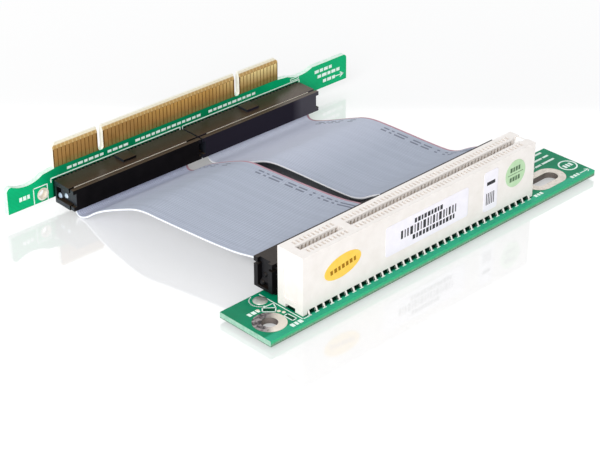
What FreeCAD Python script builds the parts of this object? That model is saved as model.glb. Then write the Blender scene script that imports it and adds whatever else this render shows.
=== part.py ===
import FreeCAD, Part
import math
import os

# Slot extender: an edge card and a slot board joined by two flat ribbon cables.
# Millimetres. x runs along the slot, y from the slot to the edge card, z up from the table.
# Sizes are given from the slot's middle; the finished part has its origin in the middle
# of its footprint, on the table.

V = FreeCAD.Vector

# Contact grid shared by the edge card and the slot
PITCH = 1.27
POSITIONS = 62
LOW_KEY = (12, 13)
HIGH_KEY = (50, 51)

# Circuit boards
BOARD_T = 1.6
PAD_T = 0.06

# Slot board
SLOT_BOARD_LEFT = -55.3
SLOT_BOARD_RIGHT = 65.9
SLOT_BOARD_FRONT = -6.9
SLOT_BOARD_BACK = 11.05
SLOT_BOARD_BASE = 0.95
SLOT_BOARD_TOP = SLOT_BOARD_BASE + BOARD_T
HOLE_MID_X = 1.1
HOLE_SPREAD = 50.9
HOLE_Y = -0.6
HOLE_R = 2.1
HOLE_PAD_R = 4.3
SLOT_HOLE_HALF = 2.6
WIRE_PAD_AT = (-44.9, 8.0)
WIRE_PAD_R = 1.9
WIRE_PAD_H = 0.5

# Slot housing
SLOT_LENGTH = 84.84
SLOT_WIDTH = 8.7
SLOT_TOP = 18.7
CHANNEL_HALF = 0.95
CHANNEL_DEPTH = 8.5
CHANNEL_END = 39.9
SLIT_HALF = 0.33
SLIT_REACH = 3.1
FEET_H = 1.05
FEET_GAP = 1.8
FEET_GAPS = 32
END_NOTCH_HALF = 1.5
END_NOTCH_DEPTH = 1.65
END_RIM_DROP = 0.4
END_RIM_T = 0.5
END_RECESS_HALF = 2.2
END_RECESS_LOW = 5.0
END_RECESS_HIGH = 17.4
END_RECESS_T = 0.3
END_ARCH_HALF = 1.7
END_ARCH_DEPTH = 0.9
PEG_R = 1.15
PEG_X = 40.3
PEG_CLEARANCE = 0.05

# Slot contacts: a sprung strip in each slit
CONTACT_W = 0.5
CONTACT_T = 0.28
CONTACT_ROOT_Y = 2.6
CONTACT_NOSE_Y = 0.8
CONTACT_NOSE_DROP = 3.6
CONTACT_TIP_Y = 1.7
CONTACT_TIP_DROP = 0.9
CONTACT_TAIL_ROWS = (1.4, 2.9)

# Edge card, in its own place: x from the tongue's middle, y from its front face
CARD_X = -10.05
CARD_Y = 81.8
CARD_TURN = -1.335
CARD_LEFT = -54.8
CARD_RIGHT = 67.1
CARD_BASE = 3.5
WING_TOP = 11.5
WING_END_R = 1.3
LEFT_SCOOP = ((-43.4, 11.35), (-48.2, 9.9), (-53.3, 11.2))
RIGHT_SCOOP = ((53.2, 11.45), (48.2, 10.4), (43.4, 11.45))
TONGUE_HALF = 39.62
TONGUE_TOP = 18.9
TONGUE_BASE = 11.85
TONGUE_CHAMFER = 1.0
BEVEL_H = 1.5
BEVEL_T = 0.5
KEY_W = 1.8
KEY_DEPTH = 7.0
KEY_CHAMFER = 0.5
FINGER_W = 1.0
FINGER_TOP = 17.25
FINGER_BASE = 12.15
FINGER_T = 0.05
EYELET_AT = (-43.7, 5.7)
EYELET_R = 1.25
EYELET_PAD_R = 1.8

# Ribbon connectors, two on each board
SOCKET_LENGTH = 43.6
SOCKET_STEP = 44.1
SOCKET_WIDTH = 6.5
SOCKET_STANDOFF = 0.7
SOCKET_DEPTH = 6.3
CARD_SOCKETS_X = 3.55
CARD_SOCKET_Z = 5.55
SLOT_SOCKETS_X = 2.15
SLOT_SOCKET_Y = 10.36
EAR_NOTCH = 1.4
EAR_NOTCH_W = 3.8
SOCKET_KEY_HALF = 2.15
SOCKET_KEY_H = 0.7
SOCKET_KEY_LOW = 1.2
SOCKET_KEY_HIGH = 5.2
FOOT_LENGTH = 1.6
FOOT_WIDTH = 2.0
FOOT_X = 19.4
FOOT_Y = -0.95
SOCKET_RIM = 0.7
CARD_COVER_WIDTH = 6.1
SLOT_COVER_WIDTH = SOCKET_WIDTH
COVER_T = 1.3
ARM_T = 0.45
ARM_W = 2.6
ARM_LENGTH = 5.6
HOOK_LENGTH = 1.4
HOOK_T = 0.35
PINS_PER_ROW = 30
PIN_ROWS = (-0.05, 1.22)
TAIL_R = 0.55
CARD_TAIL = 1.1
SLOT_TAIL = 0.8

# Ribbon cables
RIBBON_WAYS = 60
RIBBON_PITCH = 0.635
RIBBON_W = RIBBON_WAYS * RIBBON_PITCH
RIBBON_T = 0.7
RIBBON_DEPTH = SOCKET_STANDOFF + SOCKET_DEPTH + RIBBON_T / 2
RIBBON_EXIT_R = 1.3
RIBBON_REST_Z = RIBBON_T / 2
CARD_CUT_Z = CARD_SOCKET_Z + SOCKET_WIDTH / 2
SLOT_RIBBON_Z = SLOT_BOARD_TOP + RIBBON_DEPTH
SLOT_CUT_Y = SLOT_SOCKET_Y - SOCKET_WIDTH / 2
SLOT_ENTRY_Y = SLOT_SOCKET_Y + SOCKET_WIDTH / 2
NEAR_OFFSET = -1.2
FAR_OFFSET = 0.1

# Free routes of the ribbons' centre lines, as corners (y, z, bend radius) from the card to the slot
NEAR_ROUTE = (
    (71.9, RIBBON_REST_Z, 3.0),
    (66.4, 4.4, 14.0),
    (53.3, 9.95, 14.0),
    (24.0, 8.75, 40.0),
    (14.9, SLOT_RIBBON_Z, 10.0),
)
FAR_ROUTE = (
    (70.5, RIBBON_REST_Z, 5.0),
    (52.0, 7.5, 16.0),
    (24.0, 5.25, 11.0),
    (15.0, SLOT_RIBBON_Z, 4.0),
)

# Labels on the slot's front face, as middle (x, z) and size
LABEL_T = 0.08
LABEL_CHAMFER = 0.5
OVAL_AT = (-29.0, 11.35)
OVAL_SIZE = (12.5, 6.1)
OVAL_TURN = 7.0
PART_LABEL_AT = (1.05, 11.25)
PART_LABEL_SIZE = (30.4, 8.5)
BAR_LABEL_AT = (25.0, 11.15)
BAR_LABEL_SIZE = (5.4, 11.6)
ROUND_AT = (34.75, 12.45)
ROUND_R = 3.9


def box(x0, x1, y0, y1, z0, z1):
    return Part.makeBox(x1 - x0, y1 - y0, z1 - z0, V(x0, y0, z0))


def outline(at, start, *steps):
    """Closed face: a step is a point for a line, or (through, end) for an arc; at puts a point in space."""
    edges = []
    here = start
    for step in steps + (start,):
        if isinstance(step[0], tuple):
            through, end = step
            edges.append(Part.Arc(at(here), at(through), at(end)).toShape())
        else:
            end = step
            if end == here:
                continue
            edges.append(Part.LineSegment(at(here), at(end)).toShape())
        here = end
    return Part.Face(Part.Wire(edges))


def stadium(radius, half, z):
    """Face of a round hole, or of a slotted one whose end arcs lie half either side of the middle."""
    if half == 0:
        return Part.Face(Part.Wire(Part.makeCircle(radius, V(0, 0, z))))
    return outline(
        lambda p: V(p[0], p[1], z),
        (-half, -radius),
        (half, -radius),
        ((half + radius, 0), (half, radius)),
        (-half, radius),
        ((-half - radius, 0), (-half, -radius)),
    )


def plated_rim(hole_r, pad_r, half):
    """Copper pad around a hole, on the top face of a board that lies from z = 0 to BOARD_T."""
    rim = stadium(pad_r, half, BOARD_T).cut(stadium(hole_r, half, BOARD_T))
    return rim.extrude(V(0, 0, PAD_T))


def drilled(hole_r, half):
    """Tool for the board's own hole."""
    return stadium(hole_r, half, 0).extrude(V(0, 0, BOARD_T))


def contact_x(left_out):
    """Places along x of the contacts of one side, with the key positions left out."""
    middle = (POSITIONS + 1) / 2
    return [(n - middle) * PITCH for n in range(1, POSITIONS + 1) if n not in left_out]


def soldered_tail(height):
    """Three-sided spike that hangs point down from z = 0."""
    feet = [V(math.cos(a), math.sin(a), 0) * TAIL_R for a in map(math.radians, (30, 150, 270))]
    tip = V(0, 0, -height)
    faces = [Part.Face(Part.makePolygon(feet + feet[:1]))]
    for a, b in zip(feet, feet[1:] + feet[:1]):
        faces.append(Part.Face(Part.makePolygon([a, b, tip, a])))
    return Part.makeSolid(Part.makeShell(faces))


def upright(shape):
    """Stand up a shape made on z = 0, so that its z points out of the card's front face."""
    return shape.rotated(V(0, 0, 0), V(1, 0, 0), 90)


def placed_card(shape):
    """Move a shape from the card's own place to the card's place before the slot."""
    return shape.rotated(V(0, 0, 0), V(0, 0, 1), CARD_TURN).translated(V(CARD_X, CARD_Y, 0))


# Edge card

def key_notch(middle):
    half = KEY_W / 2
    low = TONGUE_TOP - KEY_DEPTH
    c = KEY_CHAMFER
    return (
        (middle + half, TONGUE_TOP),
        (middle + half, low + c),
        (middle + half - c, low),
        (middle - half + c, low),
        (middle - half, low + c),
        (middle - half, TONGUE_TOP),
    )


def bevel(y, depth):
    """Wedge taken off the tongue's leading edge on one face."""
    low = TONGUE_TOP - BEVEL_H
    face = outline(
        lambda p: V(-TONGUE_HALF, p[0], p[1]),
        (y, low),
        (y + depth, TONGUE_TOP),
        (y, TONGUE_TOP),
    )
    return face.extrude(V(2 * TONGUE_HALF, 0, 0))


def edge_card_board():
    key = (sum(HIGH_KEY) / 2 - (POSITIONS + 1) / 2) * PITCH
    r = WING_END_R
    s = r * (1 - math.sqrt(0.5))
    left_top = LEFT_SCOOP[2][1]
    face = outline(
        lambda p: V(p[0], 0, p[1]),
        (CARD_LEFT, CARD_BASE),
        (CARD_RIGHT, CARD_BASE),
        (CARD_RIGHT, WING_TOP - r),
        ((CARD_RIGHT - s, WING_TOP - s), (CARD_RIGHT - r, WING_TOP)),
        RIGHT_SCOOP[0],
        RIGHT_SCOOP[1:],
        (TONGUE_HALF, TONGUE_BASE),
        (TONGUE_HALF, TONGUE_TOP - TONGUE_CHAMFER),
        (TONGUE_HALF - TONGUE_CHAMFER, TONGUE_TOP),
        *key_notch(key),
        *key_notch(-key),
        (TONGUE_CHAMFER - TONGUE_HALF, TONGUE_TOP),
        (-TONGUE_HALF, TONGUE_TOP - TONGUE_CHAMFER),
        (-TONGUE_HALF, TONGUE_BASE),
        LEFT_SCOOP[0],
        LEFT_SCOOP[1:],
        (CARD_LEFT + r, left_top),
        ((CARD_LEFT + s, left_top - s), (CARD_LEFT, left_top - r)),
    )
    board = face.extrude(V(0, BOARD_T, 0))
    hole = upright(drilled(EYELET_R, 0)).translated(V(EYELET_AT[0], BOARD_T, EYELET_AT[1]))
    return board.cut([bevel(0, BEVEL_T), bevel(BOARD_T, -BEVEL_T), hole])


def edge_contacts(y):
    half = FINGER_W / 2
    fingers = []
    for x in contact_x(LOW_KEY + HIGH_KEY):
        fingers.append(box(x - half, x + half, y, y + FINGER_T, FINGER_BASE, FINGER_TOP))
    return Part.makeCompound(fingers)


def card_wire_eyelet():
    eyelet = upright(plated_rim(EYELET_R, EYELET_PAD_R, 0))
    return eyelet.translated(V(EYELET_AT[0], BOARD_T, EYELET_AT[1]))


# Ribbon connectors, made with x along, y towards the ribbon's cut end and z out of the board

def eared_bar(width, notch, z0, z1):
    """Bar with a notch between two ears at each end."""
    x = SOCKET_LENGTH / 2
    y = width / 2
    n = EAR_NOTCH_W / 2
    lower = [(x, -y), (x, -n), (x - notch, -n)]
    right = lower + [(px, -py) for px, py in reversed(lower)]
    left = [(-px, -py) for px, py in right]
    face = outline(lambda p: V(p[0], p[1], z0), *right, *left)
    return face.extrude(V(0, 0, z1 - z0))


def socket_body():
    low = SOCKET_STANDOFF
    rim = low + SOCKET_RIM
    body = eared_bar(SOCKET_WIDTH, EAR_NOTCH, rim, low + SOCKET_DEPTH)
    k = SOCKET_KEY_HALF
    end = SOCKET_LENGTH / 2
    top = SOCKET_WIDTH / 2
    extras = [
        box(-end, end, -top, top, low, rim),
        box(-k, k, top, top + SOCKET_KEY_H, SOCKET_KEY_LOW, SOCKET_KEY_HIGH),
    ]
    for x in (-FOOT_X, FOOT_X):
        half, wide = FOOT_LENGTH / 2, FOOT_WIDTH / 2
        extras.append(box(x - half, x + half, FOOT_Y - wide, FOOT_Y + wide, 0, low))
    return body.fuse(extras).removeSplitter()


def cover_arm(side, base):
    """Latch arm of the cover, which lies in the body's notch and ends in a hook."""
    inner = SOCKET_LENGTH / 2 - EAR_NOTCH
    outer = inner + ARM_T
    end = base - ARM_LENGTH
    face = outline(
        lambda p: V(side * p[0], -ARM_W / 2, p[1]),
        (inner, base),
        (inner, end),
        (outer, end),
        (outer + HOOK_T, end + HOOK_LENGTH / 2),
        (outer, end + HOOK_LENGTH),
        (outer, base),
    )
    return face.extrude(V(0, ARM_W, 0))


def socket_cover(width):
    """Clamping bar over the ribbon, level with the body on the side of the ribbon's cut end."""
    base = SOCKET_STANDOFF + SOCKET_DEPTH + RIBBON_T
    plate = eared_bar(width, EAR_NOTCH - ARM_T, base, base + COVER_T)
    cover = plate.fuse([cover_arm(-1, base), cover_arm(1, base)]).removeSplitter()
    return cover.translated(V(0, (SOCKET_WIDTH - width) / 2, 0))


def socket_tails(height):
    """Soldered pin ends on the far side of the board, two rows of them."""
    tail = soldered_tail(height)
    tails = []
    for y in PIN_ROWS:
        for n in range(PINS_PER_ROW):
            x = (n - (PINS_PER_ROW - 1) / 2) * PITCH
            tails.append(tail.translated(V(x, y, -BOARD_T)))
    return Part.makeCompound(tails)


def socket_x(middle, place):
    """Middle of the near (place -1) or far (place 1) connector of a pair."""
    return middle + place * SOCKET_STEP / 2


def on_card(shape, place):
    return placed_card(upright(shape).translated(V(socket_x(CARD_SOCKETS_X, place), 0, CARD_SOCKET_Z)))


def on_slot_board(shape, place):
    turned = shape.rotated(V(0, 0, 0), V(0, 0, 1), 180)
    return turned.translated(V(socket_x(SLOT_SOCKETS_X, place), SLOT_SOCKET_Y, SLOT_BOARD_TOP))


# Ribbon cables

def filleted(route):
    """Straight stretches (start, end) and bends (corner, into, out, radius) of a route of corners."""
    points = [V(u, z, 0) for u, z, r in route]
    starts, ends, bends = [points[0]], [], []
    for n in range(1, len(points) - 1):
        corner, r = points[n], route[n][2]
        into = (corner - points[n - 1]).normalize()
        out = (points[n + 1] - corner).normalize()
        reach = r * math.tan(into.getAngle(out) / 2)
        ends.append(corner - into * reach)
        starts.append(corner + out * reach)
        bends.append((corner, into, out, r))
    ends.append(points[-1])
    return list(zip(starts, ends)), bends


def band_side(stretches, bends, shift, at):
    """Edges of a filleted route moved sideways by shift."""
    edges = []
    for n, (start, end) in enumerate(stretches):
        ahead = (end - start).normalize()
        side = V(-ahead.y, ahead.x, 0) * shift
        edges.append(Part.LineSegment(at(start + side), at(end + side)).toShape())
        if n == len(bends):
            break
        corner, into, out, r = bends[n]
        turn = 1 if into.cross(out).z > 0 else -1
        inward = (out - into).normalize()
        centre = corner + inward * (r / math.cos(into.getAngle(out) / 2))
        middle = centre - inward * (r - turn * shift)
        after = stretches[n + 1][0] + V(-out.y, out.x, 0) * shift
        edges.append(Part.Arc(at(end + side), at(middle), at(after)).toShape())
    return edges


def ribbon_section(card_x, slot_x, corners):
    """Wire of the ribbon's section along one of its edges, upright between card and slot connector."""
    start = placed_card(Part.Vertex(card_x, -RIBBON_DEPTH, 0)).Point
    run = start.y - SLOT_ENTRY_Y
    slant = (slot_x - start.x) / run
    stretch = math.hypot(1, slant)

    def at(p):
        along = p.x / stretch
        return V(start.x + along * slant, start.y - along, p.y)

    route = [(0, CARD_CUT_Z, 0), (0, RIBBON_REST_Z, RIBBON_EXIT_R)]
    route += [((start.y - y) * stretch, z, r) for y, z, r in corners]
    route.append((run * stretch, SLOT_RIBBON_Z, 0))
    stretches, bends = filleted(route)
    above = band_side(stretches, bends, RIBBON_T / 2, at)
    below = band_side(stretches, bends, -RIBBON_T / 2, at)
    cut = Part.LineSegment(above[0].Vertexes[0].Point, below[0].Vertexes[0].Point).toShape()
    entry = Part.LineSegment(above[-1].Vertexes[-1].Point, below[-1].Vertexes[-1].Point).toShape()
    return Part.Wire(above + [entry] + below[::-1] + [cut])


def ribbon(place, offset, corners):
    """Flat cable: ruled between the sections at its two edges, then straight through the slot's connector."""
    card_x = socket_x(CARD_SOCKETS_X, place) + offset
    slot_x = socket_x(SLOT_SOCKETS_X, place) + offset
    half = RIBBON_W / 2
    sections = [ribbon_section(card_x + e, slot_x + e, corners) for e in (-half, half)]
    span = Part.makeLoft(sections, True, True)
    low = SLOT_RIBBON_Z - RIBBON_T / 2
    clamped = box(slot_x - half, slot_x + half, SLOT_CUT_Y, SLOT_ENTRY_Y, low, low + RIBBON_T)
    return span.fuse(clamped)


# Slot board

def slot_board():
    board = box(
        SLOT_BOARD_LEFT, SLOT_BOARD_RIGHT, SLOT_BOARD_FRONT, SLOT_BOARD_BACK, SLOT_BOARD_BASE, SLOT_BOARD_TOP
    )
    tools = [mount_place(drilled(HOLE_R, 0), -1), mount_place(drilled(HOLE_R, SLOT_HOLE_HALF), 1)]
    for x in (-PEG_X, PEG_X):
        tools.append(peg(PEG_R + PEG_CLEARANCE, SLOT_BOARD_TOP, x))
    return board.cut(tools)


def peg(radius, height, x):
    """Eight-sided locating peg on the slot's centre line, up from the table."""
    angles = [math.radians(45 * n + 22.5) for n in range(8)]
    corners = [(x + radius * math.cos(a), radius * math.sin(a)) for a in angles]
    return outline(lambda p: V(p[0], p[1], 0), *corners).extrude(V(0, 0, height))


def mount_place(shape, side):
    return shape.translated(V(HOLE_MID_X + side * HOLE_SPREAD, HOLE_Y, SLOT_BOARD_BASE))


def wire_pad():
    return Part.makeCone(WIRE_PAD_R, WIRE_PAD_R - WIRE_PAD_H, WIRE_PAD_H, V(*WIRE_PAD_AT, SLOT_BOARD_TOP))


# Slot housing and contacts

def comb(start, end, places):
    """Stretch of the card channel with a slit on both sides at each contact."""
    front = [(start, -CHANNEL_HALF)]
    for x in places:
        front.append((x - SLIT_HALF, -CHANNEL_HALF))
        front.append((x - SLIT_HALF, -SLIT_REACH))
        front.append((x + SLIT_HALF, -SLIT_REACH))
        front.append((x + SLIT_HALF, -CHANNEL_HALF))
    front.append((end, -CHANNEL_HALF))
    back = [(x, -y) for x, y in reversed(front)]
    face = outline(lambda p: V(p[0], p[1], SLOT_TOP - CHANNEL_DEPTH), *front, *back)
    return face.extrude(V(0, 0, CHANNEL_DEPTH))


def channel():
    """Card channel in two stretches, parted by the key."""
    places = contact_x(LOW_KEY)
    short = LOW_KEY[0] - 1
    key_left = places[short - 1] + PITCH / 2
    key_right = places[short] - PITCH / 2
    return [
        comb(-CHANNEL_END, key_left, places[:short]),
        comb(key_right, CHANNEL_END, places[short:]),
    ]


def end_tools(side):
    """Recess and arch of one end face."""
    end = side * SLOT_LENGTH / 2
    tools = []
    for depth, half, low, high in (
        (END_RECESS_T, END_RECESS_HALF, END_RECESS_LOW, END_RECESS_HIGH),
        (END_ARCH_DEPTH, END_ARCH_HALF, SLOT_BOARD_TOP, SLOT_BOARD_TOP + FEET_H),
    ):
        inner = end - side * depth
        tools.append(box(min(end, inner), max(end, inner), -half, half, low, high))
    return tools


def lead_in(end):
    """Tool for the ramp from the card channel up to a low rim at the slot's far end."""
    rim = SLOT_TOP - END_RIM_DROP
    side = outline(
        lambda p: V(p[0], -END_NOTCH_HALF, p[1]),
        (CHANNEL_END, SLOT_TOP),
        (CHANNEL_END, SLOT_TOP - END_NOTCH_DEPTH),
        (end - END_RIM_T, rim),
        (end, rim),
        (end, SLOT_TOP),
    )
    return side.extrude(V(0, 2 * END_NOTCH_HALF, 0))


def slot_housing():
    x, y = SLOT_LENGTH / 2, SLOT_WIDTH / 2
    gap_top = SLOT_BOARD_TOP + FEET_H
    body = box(-x, x, -y, y, SLOT_BOARD_TOP, SLOT_TOP)
    tools = channel() + end_tools(-1) + end_tools(1)
    for n in range(FEET_GAPS):
        middle = (n - (FEET_GAPS - 1) / 2) * 2 * PITCH
        tools.append(box(middle - FEET_GAP / 2, middle + FEET_GAP / 2, -y, y, SLOT_BOARD_TOP, gap_top))
    tools.append(lead_in(x))
    pegs = [peg(PEG_R, gap_top, side * PEG_X) for side in (-1, 1)]
    return body.cut(tools).fuse(pegs)


def slot_contacts(side):
    """Sprung strips that stand on the floor of the slits and lean into the card channel."""
    low = SLOT_TOP - CHANNEL_DEPTH
    nose = SLOT_TOP - CONTACT_NOSE_DROP
    tip = SLOT_TOP - CONTACT_TIP_DROP
    face = outline(
        lambda p: V(-CONTACT_W / 2, side * p[0], p[1]),
        (CONTACT_ROOT_Y, low),
        (CONTACT_ROOT_Y + CONTACT_T, low),
        (CONTACT_NOSE_Y + CONTACT_T, nose),
        (CONTACT_TIP_Y, tip),
        (CONTACT_NOSE_Y, nose),
    )
    strip = face.extrude(V(CONTACT_W, 0, 0))
    return Part.makeCompound([strip.translated(V(x, 0, 0)) for x in contact_x(LOW_KEY)])


def slot_tails(side):
    """Soldered ends of one side's contacts under the board, in two staggered rows."""
    tail = soldered_tail(SLOT_TAIL)
    tails = []
    for n, x in enumerate(contact_x(LOW_KEY)):
        row = CONTACT_TAIL_ROWS[n % 2]
        tails.append(tail.translated(V(x, side * row, SLOT_BOARD_BASE)))
    return Part.makeCompound(tails)


# Labels on the slot's front face

def on_front(p):
    return V(p[0], -SLOT_WIDTH / 2, p[1])


def stuck_on(face):
    return face.extrude(V(0, -LABEL_T, 0))


def rectangular_label(middle, size):
    x0, x1 = middle[0] - size[0] / 2, middle[0] + size[0] / 2
    z0, z1 = middle[1] - size[1] / 2, middle[1] + size[1] / 2
    c = LABEL_CHAMFER
    face = outline(
        on_front,
        (x0 + c, z0),
        (x1 - c, z0),
        (x1, z0 + c),
        (x1, z1 - c),
        (x1 - c, z1),
        (x0 + c, z1),
        (x0, z1 - c),
        (x0, z0 + c),
    )
    return stuck_on(face)


def oval_sticker():
    ellipse = Part.Ellipse(V(0, 0, 0), OVAL_SIZE[0] / 2, OVAL_SIZE[1] / 2).toShape()
    turned = ellipse.rotated(V(0, 0, 0), V(0, 0, 1), OVAL_TURN)
    return stuck_on(upright(Part.Face(Part.Wire(turned))).translated(on_front(OVAL_AT)))


def round_sticker():
    circle = Part.makeCircle(ROUND_R, on_front(ROUND_AT), V(0, 1, 0))
    return stuck_on(Part.Face(Part.Wire(circle)))


def main():
    os.makedirs("parts", exist_ok=True)
    nodes = {
        "edge_card_board": placed_card(edge_card_board()),
        "edge_contacts_front": placed_card(edge_contacts(-FINGER_T)),
        "edge_contacts_rear": placed_card(edge_contacts(BOARD_T)),
        "card_wire_eyelet": placed_card(card_wire_eyelet()),
        "slot_board": slot_board(),
        "slot_housing": slot_housing(),
        "slot_contacts_front": slot_contacts(-1),
        "slot_contacts_rear": slot_contacts(1),
        "slot_tails_front": slot_tails(-1),
        "slot_tails_rear": slot_tails(1),
        "mount_hole_plating": mount_place(plated_rim(HOLE_R, HOLE_PAD_R, 0), -1),
        "mount_slot_plating": mount_place(plated_rim(HOLE_R, HOLE_PAD_R, SLOT_HOLE_HALF), 1),
        "wire_pad": wire_pad(),
        "oval_sticker": oval_sticker(),
        "part_label": rectangular_label(PART_LABEL_AT, PART_LABEL_SIZE),
        "bar_label": rectangular_label(BAR_LABEL_AT, BAR_LABEL_SIZE),
        "round_sticker": round_sticker(),
        "ribbon_near": ribbon(-1, NEAR_OFFSET, NEAR_ROUTE),
        "ribbon_far": ribbon(1, FAR_OFFSET, FAR_ROUTE),
    }
    for name, place in (("near", -1), ("far", 1)):
        nodes["card_socket_body_" + name] = on_card(socket_body(), place)
        nodes["card_socket_cover_" + name] = on_card(socket_cover(CARD_COVER_WIDTH), place)
        nodes["card_socket_tails_" + name] = on_card(socket_tails(CARD_TAIL), place)
        nodes["slot_socket_body_" + name] = on_slot_board(socket_body(), place)
        nodes["slot_socket_cover_" + name] = on_slot_board(socket_cover(SLOT_COVER_WIDTH), place)
        nodes["slot_socket_tails_" + name] = on_slot_board(socket_tails(SLOT_TAIL), place)
    footprint = Part.makeCompound(list(nodes.values())).BoundBox
    origin = V(footprint.Center.x, footprint.Center.y, 0)
    for name, shape in nodes.items():
        shape.translated(origin * -1).exportStep("parts/" + name + ".step")


main()
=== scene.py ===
import math

import bpy
from mathutils import Matrix, Vector


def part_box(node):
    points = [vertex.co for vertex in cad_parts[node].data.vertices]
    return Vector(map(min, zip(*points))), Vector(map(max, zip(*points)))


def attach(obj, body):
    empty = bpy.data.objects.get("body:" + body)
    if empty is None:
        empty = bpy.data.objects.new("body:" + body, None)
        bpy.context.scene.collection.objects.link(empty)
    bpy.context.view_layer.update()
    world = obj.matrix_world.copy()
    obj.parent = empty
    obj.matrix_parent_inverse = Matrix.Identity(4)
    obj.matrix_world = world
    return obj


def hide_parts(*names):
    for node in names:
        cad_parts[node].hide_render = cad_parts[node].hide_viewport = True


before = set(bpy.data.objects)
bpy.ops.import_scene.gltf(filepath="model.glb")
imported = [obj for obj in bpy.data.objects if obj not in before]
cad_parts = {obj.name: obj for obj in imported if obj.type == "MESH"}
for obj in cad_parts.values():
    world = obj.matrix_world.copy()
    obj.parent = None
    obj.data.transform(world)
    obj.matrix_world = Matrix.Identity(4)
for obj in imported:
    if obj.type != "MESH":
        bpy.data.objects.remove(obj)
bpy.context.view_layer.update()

# Slot extender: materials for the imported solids, and the fine pieces that they leave out.
# Sizes are in millimetres, and places from the slot's middle with z up from the table, unless a comment
# says otherwise.

MM = 0.001
SLOT_LOW, SLOT_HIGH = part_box("slot_housing")
ORIGIN = Vector(((SLOT_LOW[0] + SLOT_HIGH[0]) / 2, (SLOT_LOW[1] + SLOT_HIGH[1]) / 2, 0))
SLOT_BOARD_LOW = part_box("slot_board")[0][2] / MM
SLOT_BOARD_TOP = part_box("slot_board")[1][2] / MM

# Camera: its target in the frame, angles in degrees, and the nearest distance that it sees in metres
AZIMUTH = -43.735
ELEVATION = 30.167
ROLL = -0.208
TARGET = Vector((-23.257, -22.131, 10.45)) * MM
DISTANCE = 462.86 * MM
LENS = 110.79
SENSOR = 36.0
CLIP_START = 0.01

# Light: the world's colour and strength, and soft boxes as (name, place in the frame, power, size), in metres
WHITE = (1, 1, 1, 1)
WORLD_COLOUR = (0.98, 0.99, 1.0, 1)
WORLD_STRENGTH = 0.6
SOFT_BOXES = (
    ("key_left", (-0.68, -0.42, 0.42), 6.2, 0.6),
    ("fill_rear", (0.5, 0.5, 0.75), 1.6, 0.8),
)

# Floor: half its side in metres, and how far it lies below the part
FLOOR_HALF = 3.0
FLOOR_DROP = 0.02
FLOOR_PALE = (0.95, 0.95, 0.955, 1)
# Part of the floor below the ribbons, painted darker as shade, and the width of that part's soft edge
FLOOR_SHADED = (0.35, 0.35, 0.36, 1)
RIBBON_SHADE_X = (-33.0, 34.0)
RIBBON_SHADE_Y = (8.0, 80.0)
RIBBON_SHADE_SOFT = 12.0
# Share by which the camera sees the floor lifted to white near the part, and where that rises to the whole
LIFT_NEAR = 0.45
LIFT_RADIUS = (90.0, 230.0)

# Contacts: a row of positions, without those where the slot's key stands
PITCH = 1.27
POSITIONS = 62
KEY_POSITIONS = (12, 13)
CONTACT_X = [
    (n - (POSITIONS + 1) / 2) * PITCH for n in range(1, POSITIONS + 1) if n not in KEY_POSITIONS
]
TAIL_ROWS = (1.4, 2.9)
LEG_HALF_X = 0.55
LEG_HALF_Y = 0.15

# Boards
BOARD_T = 1.6
INK_T = 0.03
BARE_T = INK_T / 3
CARD_AT = Vector((-10.05, 81.8, 0))
CARD_TURN = math.radians(-1.335)
FINGER_BASE = 12.15
BEVEL_BASE = 17.4

# Holes, pads and vias, with domes of solder as (radius, height)
HOLE_AT = (-49.8, -0.6)
SLOTTED_AT = (52.0, -0.6)
HOLE_R = 2.1
HOLE_PAD_R = 4.3
SLOTTED_HALF = 2.6
EYELET_AT = (-43.7, 5.7)
EYELET_R = 1.25
EYELET_PAD_R = 1.8
LINING_T = 0.03
HOLE_SIDES = 48
WIRE_PAD_AT = (-44.9, 8.0)
WIRE_PAD_DOME = ((1.9, 0.0), (1.86, 0.1), (1.6, 0.26), (1.1, 0.41), (0.55, 0.48), (0.0, 0.5))
WIRE_PAD_SIDES = 32
VIAS_AT = ((-44.8, 1.5), (-44.3, 0.3), (-48.3, 5.2), (47.4, 7.2), (50.2, 8.4))
VIA_DOME = ((0.5, 0.0), (0.46, 0.06), (0.3, 0.1), (0.0, 0.11))
VIA_SIDES = 16

# Slot housing, with heights of the slits' bridges and floors from its top
HOUSING_FRONT = (SLOT_LOW[1] - ORIGIN.y) / MM
SLOT_HALF_WIDTH = -HOUSING_FRONT
SLOT_HALF_LENGTH = (SLOT_HIGH[0] - ORIGIN.x) / MM
SLOT_TOP = SLOT_HIGH[2] / MM
CHANNEL_HALF = 0.95
SLIT_HALF = 0.33
SLIT_FROM = 1.75
SLIT_TO = 3.09
BRIDGE_Z = (-0.45, -0.01)
SLIT_FLOOR_Z = (-1.3, -0.5)
FEET = 33
FEET_X = [2 * PITCH * (n - FEET // 2) for n in range(FEET)]
FOOT_HALF = 0.28
FOOT_REACH = 0.5
FOOT_RISE = 1.05

# Labels on the housing's front
LABEL_T = 0.08
OVAL_AT = (-29.0, 11.35)
OVAL_TURN = math.radians(7.0)

# Ribbon connectors, two in a row on each board, with the row's middle as (along the board, across it)
CARD_SOCKETS = (3.55, 5.55)
SLOT_SOCKETS = (2.15, 10.36)
SOCKET_STEP = 44.1
SOCKET_LENGTH = 43.6
SOCKET_WIDTH = 6.5
SOCKET_STANDOFF = 0.7
RIB_HALF = 0.28
RIB_DEPTH = 1.3
RIB_FOOT = 0.02
PINS_PER_ROW = 30
PIN_ROWS = (-0.05, 1.22)
# Bosses in the end pockets, as place across and out from the board, radius and depth of the foot
SOCKET_BOSSES = ((-0.9, 2.2, 0.8, 0.6), (-0.2, 4.5, 0.75, 0.95))
# Their domes, as (share of the radius, rise from the foot)
BOSS_DOME = ((1.0, 0.0), (0.8, 0.22), (0.4, 0.36), (0.0, 0.4))
BOSS_SIDES = 16
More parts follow.
